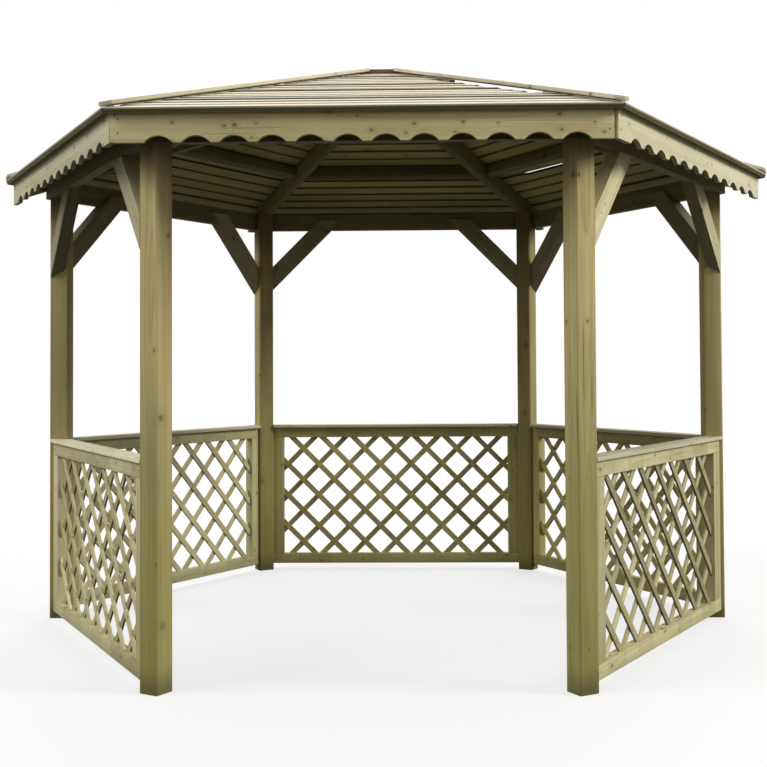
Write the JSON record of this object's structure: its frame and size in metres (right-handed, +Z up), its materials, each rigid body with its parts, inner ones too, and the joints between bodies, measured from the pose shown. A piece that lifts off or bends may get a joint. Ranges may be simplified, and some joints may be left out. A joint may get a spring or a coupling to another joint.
{
  "type": "hexagonal garden gazebo",
  "caption": "Open hexagonal timber gazebo with lattice panels, knee braces, scalloped fascias and a boarded roof.",
  "frame": {"origin": "on the ground in the middle of the hexagon", "axes": "+Z up; -Y out through the middle of the entrance; X through the left and right posts"},
  "size_m": [3.6788, 3.187, 2.6002],
  "materials": {
    "post_timber": "rough sawn and planed softwood, pressure treated",
    "frame_timber": "rough sawn and planed softwood, pressure treated",
    "brace_timber": "rough sawn and planed softwood, pressure treated",
    "panel_timber": "rough sawn and planed softwood, pressure treated",
    "cap_timber": "rough sawn and planed softwood, pressure treated",
    "roof_timber": "rough sawn and planed softwood, pressure treated",
    "fascia_timber": "rough sawn and planed softwood, pressure treated",
    "cover_timber": "rough sawn and planed softwood, pressure treated"
  },
  "bodies": {
    "root": {"post_right": "post_timber", "post_back_right": "post_timber", "post_back_left": "post_timber", "post_left": "post_timber", "post_front_left": "post_timber", "post_front_right": "post_timber", "header_back_right": "frame_timber", "header_back": "frame_timber", "header_back_left": "frame_timber", "header_front_left": "frame_timber", "header_front": "frame_timber", "header_front_right": "frame_timber", "braces_back_right": "brace_timber", "braces_back": "brace_timber", "braces_back_left": "brace_timber", "braces_front_left": "brace_timber", "braces_front_right": "brace_timber", "panel_back_right": "panel_timber", "panel_back": "panel_timber", "panel_back_left": "panel_timber", "panel_front_left": "panel_timber", "panel_front_right": "panel_timber", "cap_rail_back_right": "cap_timber", "cap_rail_back": "cap_timber", "cap_rail_back_left": "cap_timber", "cap_rail_front_left": "cap_timber", "cap_rail_front_right": "cap_timber", "roof_back_right": "roof_timber", "roof_back": "roof_timber", "roof_back_left": "roof_timber", "roof_front_left": "roof_timber", "roof_front": "roof_timber", "roof_front_right": "roof_timber", "fascia_front_left": "fascia_timber", "fascia_front": "fascia_timber", "fascia_front_right": "fascia_timber", "hip_rafters": "frame_timber", "purlins": "frame_timber", "king_block": "frame_timber", "hip_strips": "cover_timber", "apex_cap": "cover_timber"}
  },
  "joints": []
}
